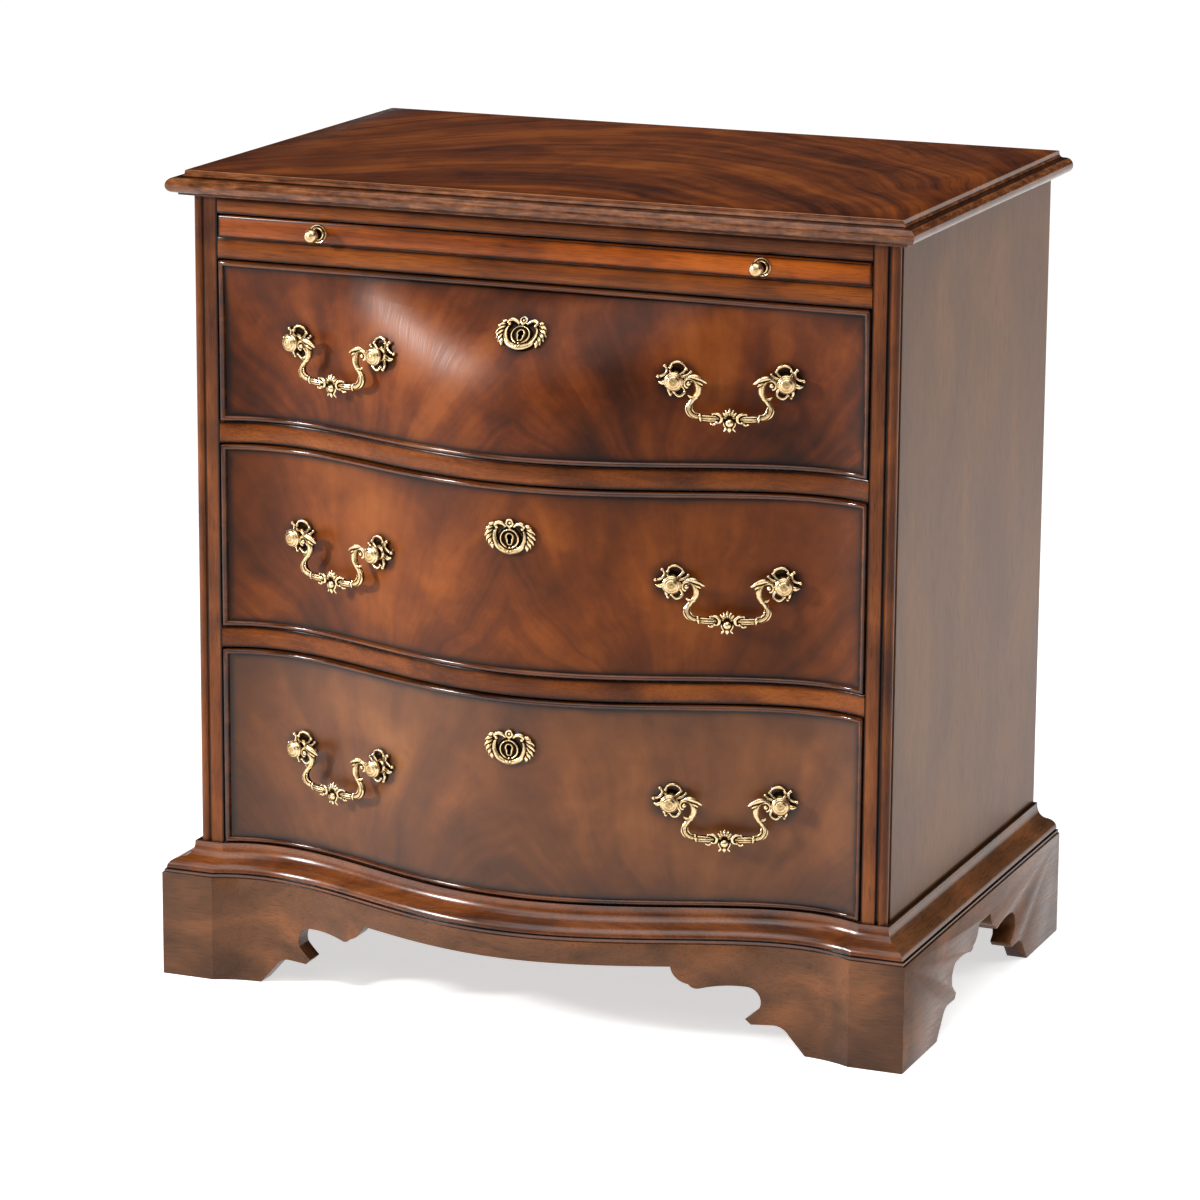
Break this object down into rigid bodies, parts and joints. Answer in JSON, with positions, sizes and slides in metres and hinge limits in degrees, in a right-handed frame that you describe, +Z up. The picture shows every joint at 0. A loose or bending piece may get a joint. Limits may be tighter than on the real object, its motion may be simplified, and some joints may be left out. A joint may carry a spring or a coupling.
{
  "type": "nightstand",
  "caption": "Serpentine-fronted mahogany nightstand with a pull-out slide above graduated drawers, swinging brass bail handles, keyhole escutcheons and scrolled bracket feet.",
  "frame": {"origin": "middle of the footprint on the floor", "axes": "+Z up, -Y towards the front with the drawers, +X to the right of a person facing the front"},
  "size_m": [0.724, 0.52, 0.75],
  "materials": {
    "mahogany": "polished, straight grained",
    "figured_mahogany": "polished flame veneer with dark edges",
    "plinth_mahogany": "polished, mottled",
    "carcase_wood": "stained, unpolished",
    "lining_wood": "waxed",
    "brass": "antique, dark in the recesses",
    "lock_steel": "brushed"
  },
  "bodies": {
    "carcase": {"top_board": "mahogany", "left_side_panel": "mahogany", "right_side_panel": "mahogany", "left_stile": "mahogany", "right_stile": "mahogany", "frieze_rail": "mahogany", "slide_rail": "mahogany", "upper_drawer_rail": "mahogany", "lower_drawer_rail": "mahogany", "front_base_moulding": "mahogany", "left_base_moulding": "mahogany", "right_base_moulding": "mahogany", "front_plinth": "plinth_mahogany", "left_plinth": "plinth_mahogany", "right_plinth": "plinth_mahogany", "back_panel": "carcase_wood", "bottom_board": "carcase_wood", "back_plinth": "carcase_wood", "foot_blocks": "carcase_wood", "drawer_runners": "carcase_wood", "drawer_guides": "carcase_wood"},
    "slide": {"slide_board": "mahogany", "slide_front": "mahogany", "slide_knobs": "brass"},
    "drawer_1": {"drawer_1_front": "figured_mahogany", "drawer_1_cock_bead": "mahogany", "drawer_1_sides": "lining_wood", "drawer_1_back": "lining_wood", "drawer_1_bottom": "lining_wood", "drawer_1_handle_posts": "brass", "drawer_1_handle_roses": "brass", "drawer_1_escutcheon": "brass", "drawer_1_lock_case": "lock_steel"},
    "drawer_1_left_bail": {"drawer_1_left_bail": "brass"},
    "drawer_1_right_bail": {"drawer_1_right_bail": "brass"},
    "drawer_1_lock_bolt": {"drawer_1_lock_bolt": "lock_steel"},
    "drawer_2": {"drawer_2_front": "figured_mahogany", "drawer_2_cock_bead": "mahogany", "drawer_2_sides": "lining_wood", "drawer_2_back": "lining_wood", "drawer_2_bottom": "lining_wood", "drawer_2_handle_posts": "brass", "drawer_2_handle_roses": "brass", "drawer_2_escutcheon": "brass", "drawer_2_lock_case": "lock_steel"},
    "drawer_2_left_bail": {"drawer_2_left_bail": "brass"},
    "drawer_2_right_bail": {"drawer_2_right_bail": "brass"},
    "drawer_2_lock_bolt": {"drawer_2_lock_bolt": "lock_steel"},
    "drawer_3": {"drawer_3_front": "figured_mahogany", "drawer_3_cock_bead": "mahogany", "drawer_3_sides": "lining_wood", "drawer_3_back": "lining_wood", "drawer_3_bottom": "lining_wood", "drawer_3_handle_posts": "brass", "drawer_3_handle_roses": "brass", "drawer_3_escutcheon": "brass", "drawer_3_lock_case": "lock_steel"},
    "drawer_3_left_bail": {"drawer_3_left_bail": "brass"},
    "drawer_3_right_bail": {"drawer_3_right_bail": "brass"},
    "drawer_3_lock_bolt": {"drawer_3_lock_bolt": "lock_steel"}
  },
  "joints": [
    {"name": "slide_pull", "type": "slide", "parent": "carcase", "child": "slide", "axis": [0, -1, 0], "range_m": [0, 0.28]},
    {"name": "drawer_1_pull", "type": "slide", "parent": "carcase", "child": "drawer_1", "axis": [0, -1, 0], "range_m": [0, 0.3]},
    {"name": "drawer_1_left_bail_swing", "type": "hinge", "parent": "drawer_1", "child": "drawer_1_left_bail", "pos_m": [-0.18927, -0.19554, 0.60036], "axis": [-0.9621, 0.2728, 0], "range_deg": [-5, 95]},
    {"name": "drawer_1_right_bail_swing", "type": "hinge", "parent": "drawer_1", "child": "drawer_1_right_bail", "pos_m": [0.18927, -0.19554, 0.60036], "axis": [-0.9621, -0.2728, 0], "range_deg": [-5, 95]},
    {"name": "drawer_1_bolt_throw", "type": "slide", "parent": "drawer_1", "child": "drawer_1_lock_bolt", "axis": [0, 0, 1], "range_m": [0, 0.008]},
    {"name": "drawer_2_pull", "type": "slide", "parent": "carcase", "child": "drawer_2", "axis": [0, -1, 0], "range_m": [0, 0.3]},
    {"name": "drawer_2_left_bail_swing", "type": "hinge", "parent": "drawer_2", "child": "drawer_2_left_bail", "pos_m": [-0.18981, -0.19636, 0.42102], "axis": [-0.9483, 0.3173, 0], "range_deg": [-5, 95]},
    {"name": "drawer_2_right_bail_swing", "type": "hinge", "parent": "drawer_2", "child": "drawer_2_right_bail", "pos_m": [0.18981, -0.19636, 0.42102], "axis": [-0.9483, -0.3173, 0], "range_deg": [-5, 95]},
    {"name": "drawer_2_bolt_throw", "type": "slide", "parent": "drawer_2", "child": "drawer_2_lock_bolt", "axis": [0, 0, 1], "range_m": [0, 0.008]},
    {"name": "drawer_3_pull", "type": "slide", "parent": "carcase", "child": "drawer_3", "axis": [0, -1, 0], "range_m": [0, 0.3]},
    {"name": "drawer_3_left_bail_swing", "type": "hinge", "parent": "drawer_3", "child": "drawer_3_left_bail", "pos_m": [-0.18981, -0.19636, 0.2232], "axis": [-0.9483, 0.3173, 0], "range_deg": [-5, 95]},
    {"name": "drawer_3_right_bail_swing", "type": "hinge", "parent": "drawer_3", "child": "drawer_3_right_bail", "pos_m": [0.18981, -0.19636, 0.2232], "axis": [-0.9483, -0.3173, 0], "range_deg": [-5, 95]},
    {"name": "drawer_3_bolt_throw", "type": "slide", "parent": "drawer_3", "child": "drawer_3_lock_bolt", "axis": [0, 0, 1], "range_m": [0, 0.008]}
  ]
}
